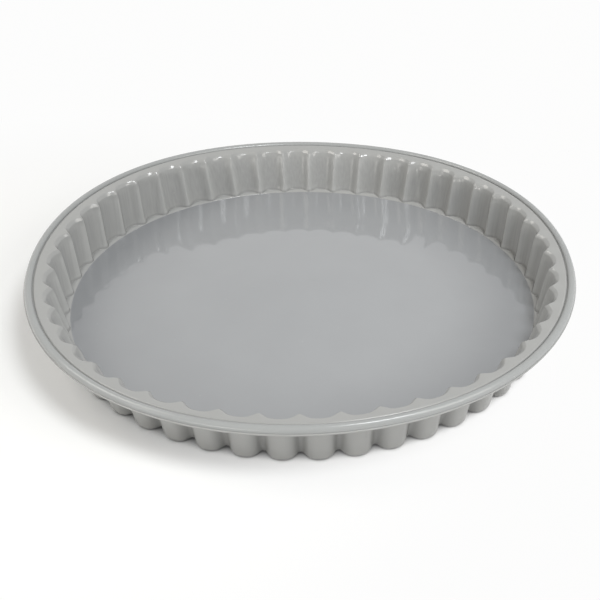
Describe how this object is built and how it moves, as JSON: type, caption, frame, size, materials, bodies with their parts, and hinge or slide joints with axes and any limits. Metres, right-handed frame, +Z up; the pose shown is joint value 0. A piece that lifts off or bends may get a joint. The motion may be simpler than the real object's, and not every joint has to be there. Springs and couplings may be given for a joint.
{
  "type": "silicone flan mould",
  "caption": "Round flexible silicone mould for flans and tarts: flat glossy floor, fluted leaning wall and a flat rim stiffened by a wire hoop under a moulded bead.",
  "frame": {"origin": "centre of the underside, on the surface that the mould stands on", "axes": "+Z up along the axis of the round mould; +X and +Y each pass through a ridge of the fluted wall"},
  "size_m": [0.299, 0.299, 0.0322],
  "materials": {
    "silicone": "satin grey silicone, glossy on the floor",
    "spring_steel": "drawn spring wire"
  },
  "bodies": {
    "root": {"mould_body": "silicone", "rim_hoop": "spring_steel", "rim_bead": "silicone"}
  },
  "joints": []
}
